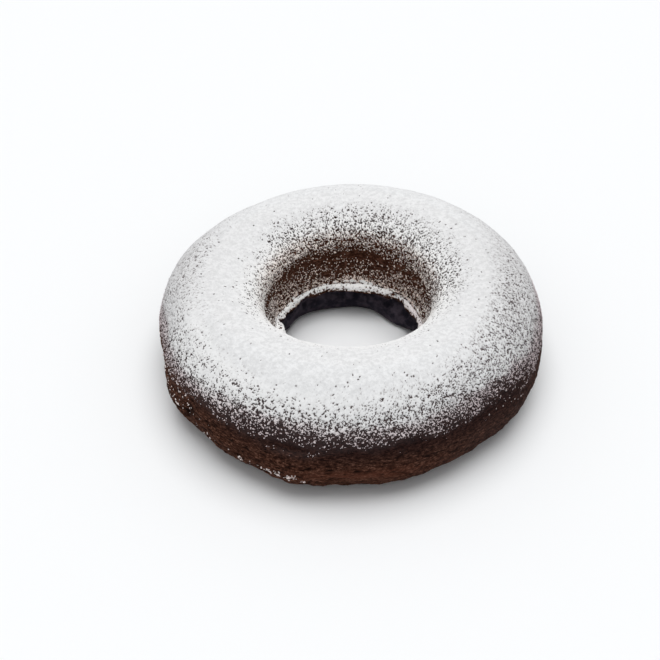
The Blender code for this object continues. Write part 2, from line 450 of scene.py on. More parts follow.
def fractal(places, size, layers, seed):
    """Noise of about -1 to 1: layers of value noise, each half as large and half as strong."""
    total = np.zeros(places.shape[:-1])
    strength = 1.0
    for layer in range(layers):
        total += strength * value_noise(places, size / 2.0 ** layer, seed + 17 * layer)
        strength *= 0.5
    return total


def texture(feature, places, seed, share=1.0):
    """Noise of a feature, given as (strength, size, layers), on a share of the skin."""
    strength, size, layers = feature
    return strength * share * fractal(places, size, layers, seed)


def pits(places, size, share_open, seed):
    """Round hollows, 1 in the middle of each and 0 between them; only some cells hold one."""
    there = places / size
    cells = np.floor(there)
    deepest = np.zeros(places.shape[:-1])
    for offset in np.ndindex(3, 3, 3):
        near = cells + np.array(offset) - 1.0
        middle = near + np.stack([hashed(near, seed + axis) for axis in (1, 2, 3)], axis=-1)
        reach = PIT_LEAST_REACH + PIT_REACH_SPREAD * hashed(near, seed + 4)
        away = np.linalg.norm(there - middle, axis=-1) / reach
        held = hashed(near, seed + 5) < share_open
        deepest = np.maximum(deepest, np.where(held, 1.0 - smooth(0.0, 1.0, away), 0.0))
    return deepest


def ranked(field, group):
    """The field's values as shares of their group, evenly spread from 0 to 1."""
    shares = np.zeros(field.shape)
    for members in (group, ~group):
        order = np.argsort(field[members])
        places = np.empty(order.size)
        places[order] = (np.arange(order.size) + 0.5) / order.size
        shares[members] = places
    return shares


# The shape of the ring

def quarter(start, end, leaves_level):
    """Points of an elliptic quarter from start to end, without its last point."""
    turn = np.linspace(0.0, 0.5 * math.pi, OUTLINE_STEPS, endpoint=False)
    ahead, aside = np.sin(turn), 1.0 - np.cos(turn)
    along_r, along_z = (ahead, aside) if leaves_level else (aside, ahead)
    return np.column_stack((start[0] + (end[0] - start[0]) * along_r,
                            start[1] + (end[1] - start[1]) * along_z))


def straight(start, end):
    """Points of a straight stretch from start to end, without its last point."""
    share = np.linspace(0.0, 1.0, OUTLINE_STEPS, endpoint=False)[:, None]
    return np.array(start) + (np.array(end) - np.array(start)) * share


def section():
    """The ring's section as dense (radius, height) points, from the base out and over into the hole."""
    base_inner = (BASE_INNER_RADIUS, 0.0)
    base_outer = (BASE_OUTER_RADIUS, 0.0)
    widest = (OUTER_RADIUS, WIDEST_HEIGHT)
    crest = (CREST_RADIUS, CAKE_HEIGHT)
    last_turn = math.atan(math.tan(WALL_SLOPE) * SHOULDER_WIDTH / SHOULDER_DROP)
    turn = np.linspace(0.0, last_turn, OUTLINE_STEPS, endpoint=False)
    shoulder = np.column_stack((CREST_RADIUS - SHOULDER_WIDTH * np.sin(turn),
                                CAKE_HEIGHT - SHOULDER_DROP * (1.0 - np.cos(turn))))
    wall_top = (CREST_RADIUS - SHOULDER_WIDTH * math.sin(last_turn),
                CAKE_HEIGHT - SHOULDER_DROP * (1.0 - math.cos(last_turn)))
    wall_fall = wall_top[1] - WALL_FOOT_HEIGHT
    wall_foot = (wall_top[0] - wall_fall / math.tan(WALL_SLOPE), WALL_FOOT_HEIGHT)
    nose = (LIP_RADIUS, LIP_TOP_HEIGHT - 0.5 * LIP_THICKNESS)
    nose_top = (LIP_RADIUS + 0.4 * LIP_THICKNESS, LIP_TOP_HEIGHT)
    nose_foot = (LIP_RADIUS + 0.5 * LIP_THICKNESS, LIP_TOP_HEIGHT - LIP_THICKNESS)
    return np.vstack((
        straight(base_inner, base_outer),
        quarter(base_outer, widest, True),
        quarter(widest, crest, False),
        shoulder,
        straight(wall_top, wall_foot),
        quarter(wall_foot, nose_top, False),
        quarter(nose_top, nose, True),
        quarter(nose, nose_foot, False),
        quarter(nose_foot, base_inner, False),
    ))


def waves(table, azimuth):
    """Sum of the waves in a table at an azimuth."""
    return sum(size * np.sin(count * azimuth + phase) for count, size, phase in table)


def hump(azimuth, centre, half_angle):
    """A smooth hump round the ring: 1 at its centre, nothing a few half angles off, both in degrees."""
    away = (np.mod(azimuth - math.radians(centre) + math.pi, math.tau) - math.pi) / math.radians(half_angle)
    return np.exp(-away * away)


def hump_at(value, centre, half_width):
    """A smooth hump along a line: 1 at its centre, nothing a few half widths off."""
    return np.exp(-((value - centre) / half_width) ** 2)


def humps(table, azimuth):
    """Sum of the humps in a table at an azimuth."""
    return sum(size * hump(azimuth, centre, half_angle) for centre, half_angle, size in table)


def shape(radius, height, azimuth):
    """Move points of the section for the unevenness of the whole ring."""
    outside = smooth(CREST_RADIUS, OUTER_RADIUS, radius)
    inside = 1.0 - smooth(HOLE_START[0], CREST_RADIUS, radius)
    at_lip = 1.0 - smooth(LIP_RADIUS, LIP_RADIUS + LIP_HUMP_REACH, radius)
    low = smooth(*FOOT_GROWTH, height) * (1.0 - smooth(*FOOT_FADE, height))
    swell = waves(OUTLINE_WAVES, azimuth) + humps(OUTLINE_HUMPS, azimuth)
    swell = swell + low * (waves(FOOT_WAVES, azimuth) + humps(FOOT_HUMPS, azimuth))
    heel = (1.0 - smooth(0.0, HEEL_HEIGHT, height)) * (1.0 - smooth(BASE_INNER_RADIUS, HEEL_REACH, radius))
    recess = waves(HOLE_WAVES, azimuth) * inside + humps(LIP_HUMPS, azimuth) * at_lip
    recess = recess + humps(HEEL_HUMPS, azimuth) * heel
    lift = waves(CREST_WAVES, azimuth) * smooth(WIDEST_HEIGHT, CAKE_HEIGHT, height)
    return radius + swell * outside + recess, height + lift


def crag(places, size, seed, wanted):
    """The solid's rough noise, worked out only where it is wanted."""
    found = np.zeros(places.shape[:-1])
    offset = Vector((seed, 0.0, 0.0))
    for index in zip(*np.nonzero(wanted)):
        there = Vector(places[index]) / size + offset
        found[index] = CRAG_GAIN * noise.fractal(there, CRAG_ROUGHNESS, CRAG_FINENESS, CRAG_LAYERS)
    return found


def zones(radius, height):
    """Shares of the underside, the lip and what is under the lip at each point."""
    underside = smooth(*UNDERSIDE_START, radius) * (1.0 - smooth(*UNDERSIDE_FADE, height))
    in_hole = 1.0 - smooth(*HOLE_START, radius)
    under_lip = in_hole * (1.0 - smooth(*UNDER_LIP_FADE, height))
    lip = in_hole * (1.0 - smooth(*LIP_FADE, height)) - under_lip
    return underside, lip, under_lip


def solid_relief(radius, height, places):
    """How far the solid's crags stand out from the smooth section."""
    underside, lip, under_lip = zones(radius, height)
    depth = SKIN_DEPTH * crag(places, SKIN_SIZE, 3.0, radius > 0.0)
    depth += CRUMB_DEPTH * underside * crag(places, CRUMB_SIZE, 11.0, underside > 0.0)
    depth += LIP_RAGGEDNESS * lip * crag(places, LIP_CRAG_SIZE, 23.0, lip > 0.0)
    hanging = under_lip * smooth(*UNDERCUT_GROWTH, height)
    depth += UNDERCUT_RAGGEDNESS * hanging * crag(places, UNDERCUT_CRAG_SIZE, 37.0, hanging > 0.0)
    return depth * smooth(*CRAG_GROWTH, height)


def stations(outline, spacing):
    """Points along the outline, as far apart as spacing says at each place."""
    steps = np.linalg.norm(np.diff(outline, axis=0), axis=1)
    middles = 0.5 * (outline[1:] + outline[:-1])
    passed = np.concatenate(([0.0], np.cumsum(steps / spacing(middles[:, 0], middles[:, 1]))))
    wanted = np.linspace(0.0, passed[-1], int(round(passed[-1])) + 1)
    return np.column_stack([np.interp(wanted, passed, outline[:, axis]) for axis in (0, 1)])


def grid_normals(places, closed):
    """Unit normals of a grid of places: rows go round the ring, columns along the section."""
    around = np.roll(places, -1, axis=0) - np.roll(places, 1, axis=0)
    if closed:
        along = np.roll(places, -1, axis=1) - np.roll(places, 1, axis=1)
    else:
        along = np.gradient(places, axis=1)
    normals = np.cross(around, along)
    return normals / np.linalg.norm(normals, axis=-1, keepdims=True)


class Skin:
    """A grid of points over the cake's skin: rows go round the ring, columns along its section."""

    def __init__(self, points, sections, closed, jitter=0.0):
        row, column = np.meshgrid(np.arange(sections), np.arange(len(points)), indexing="ij")
        self.cells = np.stack((row, column, np.zeros_like(row)), axis=-1)
        turned = row + jitter * (hashed(self.cells, seed=901) - 0.5)
        moved = jitter * (hashed(self.cells, seed=902) - 0.5)
        pace = np.gradient(points, axis=0)
        azimuth = turned * math.tau / sections
        radius = points[None, :, 0] + moved * pace[None, :, 0]
        height = points[None, :, 1] + moved * pace[None, :, 1]
        self.azimuth = azimuth
        self.radius, self.height = shape(radius, height, azimuth)
        self.outside = radius > CREST_RADIUS
        self.front = smooth(*FRONT, -np.sin(azimuth))
        self.right = smooth(*RIGHT, np.cos(azimuth))
        flat = self.radius[..., None] * np.stack((np.cos(azimuth), np.sin(azimuth)), axis=-1)
        places = np.concatenate((flat, self.height[..., None]), axis=-1)
        relief = solid_relief(self.radius, self.height, places)
        self.places = places + relief[..., None] * grid_normals(places, closed)
        self.normals = grid_normals(self.places, closed)
        self.slope = np.degrees(np.arccos(np.clip(self.normals[..., 2], -1.0, 1.0)))

    def raised(self, amount):
        """The grid's places moved out along its normals."""
        return self.places + amount[..., None] * self.normals

    def middle(self):
        """The middle of the grid's outline, seen from above."""
        flat = self.places.reshape(-1, 3)
        middle = 0.5 * (flat.min(axis=0) + flat.max(axis=0))
        return np.array((middle[0], middle[1], 0.0))


# Where the sugar lies

def cover_at(table, slope):
    """Share hidden by sugar at a slope, from a table of (slope, share)."""
    slopes, shares = zip(*table)
    return np.interp(slope, slopes, shares)


def ledge_top(skin):
    """Height up to which powder lies thick on the ledge and banks up against the wall."""
    ragged = texture(LEDGE_EDGE, skin.places, seed=421)
    return WALL_FOOT_HEIGHT + LEDGE_REACH + humps(LEDGE_REACH_HUMPS, skin.azimuth) + ragged


def outside_share(skin):
    """The share of the outside that sugar hides, by its slope, side and height."""
    left = hump(skin.azimuth, *LEFT_SIDE)
    right = hump(skin.azimuth, *RIGHT_SIDE) * smooth(*RIGHT_LOSS_RADII, skin.radius)
    sides = np.abs(np.cos(skin.azimuth)) ** 4
    steep = smooth(*LEAN_START, skin.slope)
    lean = steep * (1.0 - LEAN_EASING * smooth(*LEAN_END, skin.slope)) * humps(LEAN_HUMPS, skin.azimuth)
    share = cover_at(OUTSIDE_COVER, skin.slope - FLATTER_OUTSIDE * sides + lean)
    share = share - (LEFT_LOSS * left + RIGHT_LOSS * right) * (1.0 - smooth(*LOSS_SLOPES, skin.slope))
    lower = OUTSIDE_LOWERING * hump(skin.azimuth, *LOWERED_SIDE)
    return share * smooth(*OUTSIDE_LEAST_HEIGHTS, skin.height + lower)


def inside_share(skin):
    """The share of the slope into the hole that sugar hides."""
    left = hump(skin.azimuth, *LEFT_SIDE)
    return cover_at(INSIDE_COVER, skin.slope - FLATTER_INSIDE * np.maximum(left, skin.front))


def wall_share(skin):
    """The share of the hole's wall that sugar hides, in loose rows of specks."""
    aside = np.cos(skin.azimuth) ** 2 * smooth(*WALL_ASIDE_HEIGHTS, skin.height)
    share = cover_at(WALL_COVER, skin.height / MILLIMETRE) * (WALL_FACTOR + WALL_FACTOR_ASIDE * aside)
    banked = BANK_SHARE * hump(skin.azimuth, *BANK_SIDE) * hump_at(skin.height, *BANK_HEIGHTS)
    rows = texture(WALL_ROWS, skin.places * (1.0, 1.0, WALL_ROW_STRETCH), seed=441)
    return np.clip(share * (1.0 + rows) + banked, 0.0, MOST_WALL_COVER)


def sugar_share(skin):
    """The share of the skin that sugar hides; over 1 it has no gaps."""
    share = np.where(skin.outside, outside_share(skin), inside_share(skin))
    wall = wall_share(skin)
    in_hole = skin.radius < HOLE_START[1]
    low = in_hole * (1.0 - smooth(*WALL_TOP, skin.height))
    share = share + low * (wall - share)
    on_ledge = in_hole & (skin.height < ledge_top(skin))
    bank = LEDGE_COVER * (1.0 - smooth(*LEDGE_SLOPES, skin.slope))
    share = np.where(on_ledge, np.maximum(bank, wall * (skin.height > WALL_FOOT_HEIGHT)), share)
    share = np.where(skin.height < LEDGE_LEAST_HEIGHT, 0.0, share)
    return np.clip(share, 0.0, MOST_COVER)


# Meshes

def grid_faces(rows, columns, closed):
    """Quads of a grid that closes round its rows, and along its columns where closed."""
    row, column = np.meshgrid(np.arange(rows), np.arange(columns if closed else columns - 1), indexing="ij")
    next_row, next_column = (row + 1) % rows, (column + 1) % columns
    quads = np.stack((row * columns + column, next_row * columns + column,
                      next_row * columns + next_column, row * columns + next_column), axis=-1)
    return quads.reshape(-1, 4)


def build_mesh(name, places, faces, material, values=None):
    """An object from arrays of places and faces; values are point attributes by name."""
    used, renumbered = np.unique(faces.reshape(-1), return_inverse=True)
    data = bpy.data.meshes.new(name)
    data.vertices.add(len(used))
    data.vertices.foreach_set("co", places.reshape(-1, 3)[used].astype(np.float32).reshape(-1))
    data.loops.add(len(renumbered))
    data.loops.foreach_set("vertex_index", renumbered.astype(np.int32))
    data.polygons.add(len(faces))
    data.polygons.foreach_set("loop_start", np.arange(0, len(renumbered), faces.shape[1], dtype=np.int32))
    data.update(calc_edges=True)
    data.validate()
    data.shade_smooth()
    for label, numbers in (values or {}).items():
        attribute = data.attributes.new(label, "FLOAT", "POINT")
        attribute.data.foreach_set("value", numbers.reshape(-1)[used].astype(np.float32))
    data.materials.append(material)
    item = bpy.data.objects.new(name, data)
    bpy.context.scene.collection.objects.link(item)
    return item


# Materials

def principled(name, roughness, specular):
    """A new material, its tree and its shader."""
    material = bpy.data.materials.new(name)
    material.use_nodes = True
    tree = material.node_tree
    shader = tree.nodes["Principled BSDF"]
    shader.inputs["Roughness"].default_value = roughness
    shader.inputs["Specular IOR Level"].default_value = specular
    return material, tree, shader


def node(tree, kind, **settings):
    """A new node with properties set by name."""
    made = tree.nodes.new(kind)
    for key, value in settings.items():
        setattr(made, key, value)
    return made


def noise_node(tree, size, detail=3.0, roughness=0.6, flatten=1.0):
    """Noise over the object's own coordinates: features of a size in metres, flattened in height."""
    place = node(tree, "ShaderNodeTexCoord")
    squeeze = node(tree, "ShaderNodeVectorMath", operation="MULTIPLY")
    squeeze.inputs[1].default_value = (1.0, 1.0, flatten)
    made = node(tree, "ShaderNodeTexNoise")
    made.inputs["Scale"].default_value = 1.0 / size
    made.inputs["Detail"].default_value = detail
    made.inputs["Roughness"].default_value = roughness
    tree.links.new(place.outputs["Object"], squeeze.inputs[0])
    tree.links.new(squeeze.outputs["Vector"], made.inputs["Vector"])
    return made.outputs["Fac"]


def ramp(tree, source, stops):
    """A colour ramp on a source, with stops of (position, colour)."""
    made = node(tree, "ShaderNodeValToRGB")
    elements = made.color_ramp.elements
    while len(elements) < len(stops):
        elements.new(0.5)
    for element, (position, colour) in zip(elements, stops):
        element.position = position
        element.color = (*colour, 1.0)
    tree.links.new(source, made.inputs["Fac"])
    return made.outputs["Color"]


def mixed(tree, factor, first, second, blend="MIX"):
    """Colour from first to second, or to their product, as factor goes from 0 to 1."""
    made = node(tree, "ShaderNodeMix", data_type="RGBA", blend_type=blend)
    tree.links.new(factor, made.inputs["Factor"])
    for socket, value in ((made.inputs["A"], first), (made.inputs["B"], second)):
        if isinstance(value, tuple):
            socket.default_value = (*value, 1.0)
        else:
            tree.links.new(value, socket)
    return made.outputs["Result"]


def attribute_value(tree, name):
    """A point attribute's number."""
    return node(tree, "ShaderNodeAttribute", attribute_name=name).outputs["Fac"]


def worked_out(tree, operation, first, second):
    """The sum or product of a socket and another socket or number."""
    made = node(tree, "ShaderNodeMath", operation=operation)
    tree.links.new(first, made.inputs[0])
    if isinstance(second, float):
        made.inputs[1].default_value = second
    else:
        tree.links.new(second, made.inputs[1])
    return made.outputs["Value"]


def bumped(tree, shader, layers):
    """Bump from layers of (height socket, depth in metres), one after the other."""
    previous = None
    for source, depth in layers:
        made = node(tree, "ShaderNodeBump")
        made.inputs["Strength"].default_value = 1.0
        made.inputs["Distance"].default_value = depth
        tree.links.new(source, made.inputs["Height"])
        if previous is not None:
            tree.links.new(previous, made.inputs["Normal"])
        previous = made.outputs["Normal"]
    tree.links.new(previous, shader.inputs["Normal"])


def crumb_material():
    """Dark chocolate crust: brown and crumbly near the foot, redder in the hole, dusted in the fringes,
    with painted shade in its pits and creases.
    """
    material, tree, shader = principled("chocolate_crumb", roughness=0.9, specular=0.03)
    mottle = noise_node(tree, size=0.0070, detail=4.0)
    fine = noise_node(tree, size=0.0013, roughness=0.7)
    streaks = noise_node(tree, size=0.0042, detail=5.0, roughness=0.8, flatten=1.3 * WRINKLE_STRETCH)
    specks = noise_node(tree, size=0.0020, roughness=0.75, flatten=2.0)
    crumbs = worked_out(tree, "MULTIPLY", worked_out(tree, "ADD", streaks, specks), 0.5)
    colour = ramp(tree, crumbs, CRUST_STOPS)
    colour = mixed(tree, attribute_value(tree, "redness"), colour, ramp(tree, crumbs, FOOT_STOPS))
    colour = mixed(tree, attribute_value(tree, "wall"), colour, ramp(tree, crumbs, WALL_STOPS))
    colour = mixed(tree, attribute_value(tree, "glow"), colour, GLOW_COLOUR)
    # Painted shade in the pits and creases
    colour = mixed(tree, attribute_value(tree, "pits"), colour, PIT_SHADE_COLOUR)
    colour = mixed(tree, attribute_value(tree, "undercut"), colour, ramp(tree, mottle, UNDERCUT_STOPS))
    dusted = worked_out(tree, "MULTIPLY", attribute_value(tree, "dusting"), fine)
    colour = mixed(tree, dusted, colour, DUSTED_COLOUR)
    tree.links.new(colour, shader.inputs["Base Color"])
    grain = noise_node(tree, size=0.0006, detail=2.0)
    bumped(tree, shader, ((streaks, 0.0007), (fine, 0.00045), (grain, 0.00012)))
    return material


def sugar_material():
    """Dry white powder, dull and a little uneven in tone; where it is thin, the crust shows through."""
    material, tree, shader = principled("icing_sugar", roughness=1.0, specular=0.03)
    tone = noise_node(tree, size=0.0030, detail=4.0, roughness=0.8)
    white = ramp(tree, tone, SUGAR_STOPS)
    # The thickness value also carries painted shade at the left and right of the top
    colour = mixed(tree, attribute_value(tree, "thickness"), THIN_SUGAR_COLOUR, white)
    # Painted light: the powder turns a brighter white where this attribute says
    colour = mixed(tree, attribute_value(tree, "painted_light"), colour, PAINTED_LIGHT_SUGAR_COLOUR)
    colour = mixed(tree, attribute_value(tree, "blush"), colour, BLUSH_TINT, "MULTIPLY")
    colour = mixed(tree, attribute_value(tree, "cream"), colour, CREAM_TINT, "MULTIPLY")
    tree.links.new(colour, shader.inputs["Base Color"])
    powder = noise_node(tree, size=0.0010, roughness=0.7)
    bumped(tree, shader, ((powder, 0.00026),))
    return material


def floor_material():
    """Plain pale floor."""
    material, tree, shader = principled("floor", roughness=0.9, specular=0.1)
    shader.inputs["Base Color"].default_value = (*FLOOR_COLOUR, 1.0)
    return material


# Pieces

def crust_spacing(radius, height):
    """Spacing of the crust's points along its section: wide where the base or sugar hides it."""
    on_base = (height < BASE_TOP) & (radius < BASE_OUTER_RADIUS)
    outside = radius > CREST_RADIUS
    bare = np.where(outside & (height < FOOT_HEIGHTS[1]), FOOT_SPACING, CRUST_SPACING)
    hidden = np.where(outside, smooth(*HIDDEN_OUTSIDE, height), smooth(*HIDDEN_INSIDE, height))
    return np.where(on_base, BASE_SPACING, bare + HIDDEN_GROWTH * hidden)


def fold_relief(skin):
    """Relief of the fold at the left, and the painted shade of its creases."""
    relief = np.zeros(skin.azimuth.shape)
    painted_shade = np.zeros(skin.azimuth.shape)
    for azimuth, half_angle, height, half_height, size in FOLDS:
        around = hump(skin.azimuth, azimuth, half_angle)
        fold = size * skin.outside * around * hump_at(skin.height, height, half_height)
        relief += fold
        painted_shade += np.maximum(-fold, 0.0) / FOLD_SHADE_DEPTH
    return relief, painted_shade


def crust_values(skin, foot, under_lip, pit_shade):
    """How strongly each colour of the crust shows at each point."""
    wall = (1.0 - smooth(*HOLE_START, skin.radius)) * (1.0 - under_lip)
    right = smooth(*FOOT_RIGHT, np.cos(skin.azimuth))
    bare = 1.0 - np.minimum(sugar_share(skin), 1.0)
    dusting = np.where(skin.outside, DUSTING_OUTSIDE, DUSTING_INSIDE)
    glow = hump(skin.azimuth, *GLOW_SIDE) * hump_at(skin.height, *GLOW_HEIGHTS)
    return {
        "dusting": dusting * (1.0 - bare * bare) + DUSTING_FOOT * foot * right,
        "redness": foot * (1.0 - REDNESS_LOSS * right),
        "wall": WALL_STRENGTH * wall,
        "glow": GLOW_STRENGTH * foot * glow,
        # The pits value is painted shade in the foot's pits and the fold's creases
        "pits": np.clip(pit_shade, 0.0, 1.0),
        "undercut": UNDERCUT_STRENGTH * under_lip,
    }


def make_crust(skin, shift, material):
    """The whole baked cake as one closed skin, with pits, wrinkles and crags."""
    lip, under_lip = zones(skin.radius, skin.height)[1:]
    rise = FOOT_RISE * hump(skin.azimuth, *FOOT_RISE_SIDE)
    foot = smooth(*FOOT_RADII, skin.radius) * (1.0 - smooth(*FOOT_HEIGHTS, skin.height - rise))
    level = skin.places * np.array((1.0, 1.0, WRINKLE_STRETCH))
    small_holes = SMALL_PIT_STRENGTH * pits(level, *SMALL_FOOT_PITS, seed=221)
    holes = np.maximum(pits(level, *LARGE_FOOT_PITS, seed=211), small_holes)
    hanging = under_lip * smooth(*UNDERCUT_GROWTH, skin.height)
    fold, crease_shade = fold_relief(skin)
    relief = texture(CRUST_RELIEF, skin.places, seed=131) + fold
    relief += texture(FOOT_WRINKLES, level, seed=101, share=foot) - FOOT_PIT_DEPTH * foot * holes
    relief += texture(UNDERCUT_RELIEF, skin.places, seed=151, share=hanging)
    relief -= UNDERCUT_PIT_DEPTH * hanging * pits(skin.places, *UNDERCUT_PITS, seed=231)
    relief += texture(LIP_RELIEF, skin.places, seed=171, share=lip)
    relief *= smooth(*CRAG_GROWTH, skin.height)
    # Painted shade for the foot's pits and the fold's creases
    values = crust_values(skin, foot, under_lip, PIT_SHADE_STRENGTH * foot * holes + crease_shade)
    faces = grid_faces(*skin.azimuth.shape, closed=True)
    return build_mesh("cake_crust", skin.raised(relief) - shift, faces, material, values)


def sheet_spacing(radius, height):
    """Spacing of the sugar sheet's points along the section: finest in the fringes and on the ledge."""
    bands = (radius < HOLE_START[0], radius <= CROWN_INNER_RADIUS, radius < CROWN_OUTER_RADIUS)
    return np.select(bands, (LEDGE_SPACING, INSIDE_SPACING, CROWN_SPACING), OUTSIDE_SPACING)


def bare_specks(skin, share):
    """How much powder is missing at the small bare specks of the crown and of the ledge."""
    if skin.height.max() < WALL_TOP[0]:
        often = LARGE_LEDGE_SPECKS + CROWDED_LEDGE_SPECKS * hump(skin.azimuth, *CROWDED_SIDE)
        large = pits(skin.places, LARGE_LEDGE_SPECK_SIZE, often, seed=251)
        return SPECK_STRENGTH * np.maximum(large, pits(skin.places, *SMALL_LEDGE_SPECKS, seed=271))
    return SPECK_STRENGTH * pits(skin.places, *CROWN_SPECKS, seed=261) * (share > CROWN_SPECKS_LEAST_COVER)


def sheet_cover(skin):
    """How firmly the powder covers the crust, from 1 where it is thick to -1 where there is none."""
    share = sugar_share(skin)
    grain = 2.0 * hashed(skin.cells, seed=307) - 1.0
    back = 0.5 + 0.5 * np.sin(skin.azimuth)
    left = hump(skin.azimuth, *LUMPY_SIDE)
    lumps = texture(OUTSIDE_LUMPS, skin.places, seed=311) + texture(OUTSIDE_PATCHES, skin.places, seed=331)
    lumps += texture(LUMPY_SIDE_LUMPS, skin.places, seed=341, share=left)
    outside = (GRAIN + GRAIN_BACK * back + GRAIN_RIGHT * skin.right) * grain + lumps
    inside = GRAIN * grain + texture(INSIDE_LUMPS, skin.places, seed=351)
    hidden = ranked(np.where(skin.outside, outside, inside), skin.outside)
    return np.clip((share - bare_specks(skin, share) - hidden) / FRINGE_SOFTNESS, -1.0, 1.0)


def sugar_tints(skin):
    """How pinkish and how cream the powder is at each point, and how much painted light brightens it."""
    share = sugar_share(skin)
    back = rising(CREAM_LEAST_FRONT, smooth(*BACK, np.sin(skin.azimuth)))
    low = (1.0 - smooth(*CREAM_HEIGHTS, skin.height)) * back
    on_wall = rising(CREAM_LEAST_ABOVE, 1.0 - smooth(*CREAM_WALL_HEIGHTS, skin.height))
    cream = on_wall * rising(CREAM_LEAST, low * (1.0 - smooth(*CREAM_SHARES, share)))
    lilac = hump(skin.azimuth, *LILAC_SIDE) * (skin.height < WALL_FOOT_HEIGHT + LEDGE_REACH)
    left = hump(skin.azimuth, *LUMPY_SIDE)
    # Painted light on lumps at the front and left outside, and inside on the slope and the ledge
    lumps = PAINTED_LIGHT_FRONT * (1.0 - skin.right) * skin.front + PAINTED_LIGHT_LEFT * left
    lumps = lumps * (1.0 - smooth(*PAINTED_LIGHT_SHARES, share))
    painted_light_inside = np.maximum(smooth(*PAINTED_LIGHT_SLOPES, skin.slope), skin.radius < HOLE_START[0])
    return {
        "blush": np.where(skin.outside, 1.0 - smooth(*BLUSH_SHARES, share), LILAC_STRENGTH * lilac),
        "cream": ~skin.outside * cream,
        "painted_light": np.where(skin.outside, lumps, painted_light_inside),
    }


def sheet_height(skin, cover):
    """Height of the powder over the crust: proud where it covers, sunk where it doesn't."""
    low = ~skin.outside & (skin.height < LEDGE_SWELL_TOP)
    swell = texture(SHEET_SWELL, skin.places, seed=391)
    swell += texture(LEDGE_SWELL, skin.places, seed=395, share=low)
    thickness = SHEET_THICKNESS + SHEET_UNEVENNESS * hashed(skin.cells, seed=313)
    grown = thickness * smooth(*SHEET_RISE_COVERS, cover) + swell
    return np.where(cover > 0.0, grown, -SHEET_SINK * smooth(*SHEET_SINK_COVERS, -cover))


def sheet_whiteness(skin, cover):
    """How white the powder looks: less at its edges, and greyed by painted shade at the left and right."""
    # Painted shade: the outer top is greyer at the left and right
    side_shade = SIDE_SHADE * smooth(*SIDE_SHADE_RADII, skin.radius) * np.cos(skin.azimuth) ** 4
    full = np.where(skin.outside, WHITE_OUTSIDE, WHITE_INSIDE)
    return (1.0 - side_shade) * smooth(WHITE_START, full, cover)


def sheet_stretches(outline):
    """The two stretches of the outline that carry a sheet of powder: over the top, and the ledge."""
    radius, height = outline.T
    outer = (radius > CREST_RADIUS) & (height > SHEET_LEAST_HEIGHT)
    inner = (radius <= CREST_RADIUS) & (height > INSIDE_LEAST_HEIGHT)
    ledge = (radius < LEDGE_OUTER_RADIUS) & (height < LEDGE_MOST_HEIGHT)
    ledge &= height > LEDGE_LEAST_HEIGHT - LEDGE_MARGIN
    return outline[outer | inner], outline[ledge]


def band_names(radius):
    """The name of the band that each place of the sheet belongs to."""
    bands = (radius < LEDGE_OUTER_RADIUS, radius <= CROWN_INNER_RADIUS, radius < CROWN_OUTER_RADIUS)
    return np.select(bands, ("ledge", "inside", "crown"), "outside")


def make_sheet(outline, shift, material):
    """The powder that lies as a sheet, one piece for each of its bands."""
    pieces = []
    for stretch in sheet_stretches(outline):
        points = stations(stretch, sheet_spacing)
        skin = Skin(points, SHEET_SECTIONS, closed=False, jitter=SHEET_JITTER)
        cover = sheet_cover(skin)
        height = sheet_height(skin, cover)
        # The thickness value also carries the painted shade at the left and right
        values = {"thickness": sheet_whiteness(skin, cover), **sugar_tints(skin)}
        places = skin.raised(height) - shift
        faces = grid_faces(*skin.azimuth.shape, closed=False)
        faces = faces[(height.reshape(-1)[faces] > -SHEET_CUT_DEPTH).any(axis=1)]
        names = band_names(points[faces[:, 0] % len(points), 0])
        for band in SHEET_BANDS:
            chosen = faces[names == band]
            if len(chosen):
                pieces.append(build_mesh("icing_sugar_" + band, places, chosen, material, values))
    return pieces


def clump_template():
    """A low lump of size 1: a top, a ring of corners and a foot, and its triangles."""
    turn = np.arange(CLUMP_SIDES) * math.tau / CLUMP_SIDES
    ring = np.column_stack((np.cos(turn), np.sin(turn), np.zeros(CLUMP_SIDES)))
    points = np.vstack(((0.0, 0.0, CLUMP_TOP), ring, (0.0, 0.0, CLUMP_FOOT)))
    faces = []
    for side in range(CLUMP_SIDES):
        here, following = 1 + side, 1 + (side + 1) % CLUMP_SIDES
        faces.append((0, here, following))
        faces.append((CLUMP_SIDES + 1, following, here))
    return points, np.array(faces)


def scatter(skin, cover, size, draw):
    """Points, places and axes for so many clumps that they hide the given share of a skin."""
    across = np.linalg.norm(np.roll(skin.places, -1, axis=0) - skin.places, axis=-1)
    along = np.linalg.norm(np.gradient(skin.places, axis=1), axis=-1)
    wanted = (-np.log1p(-cover) * across * along).reshape(-1)
    count = int(wanted.sum() / (CLUMP_AREA * size * size))
    chosen = draw.choice(wanted.size, size=count, p=wanted / wanted.sum())
    normals = skin.normals.reshape(-1, 3)[chosen]
    sideways = np.cross(normals, draw.normal(size=(count, 3)))
    sideways /= np.linalg.norm(sideways, axis=1, keepdims=True)
    third = np.cross(normals, sideways)
    spread = draw.random((count, 2)) - 0.5
    places = skin.places.reshape(-1, 3)[chosen]
    places = places + spread[:, :1] * across.reshape(-1)[chosen][:, None] * sideways
    places = places + spread[:, 1:] * along.reshape(-1)[chosen][:, None] * third
    return chosen, places, (sideways, third, normals)


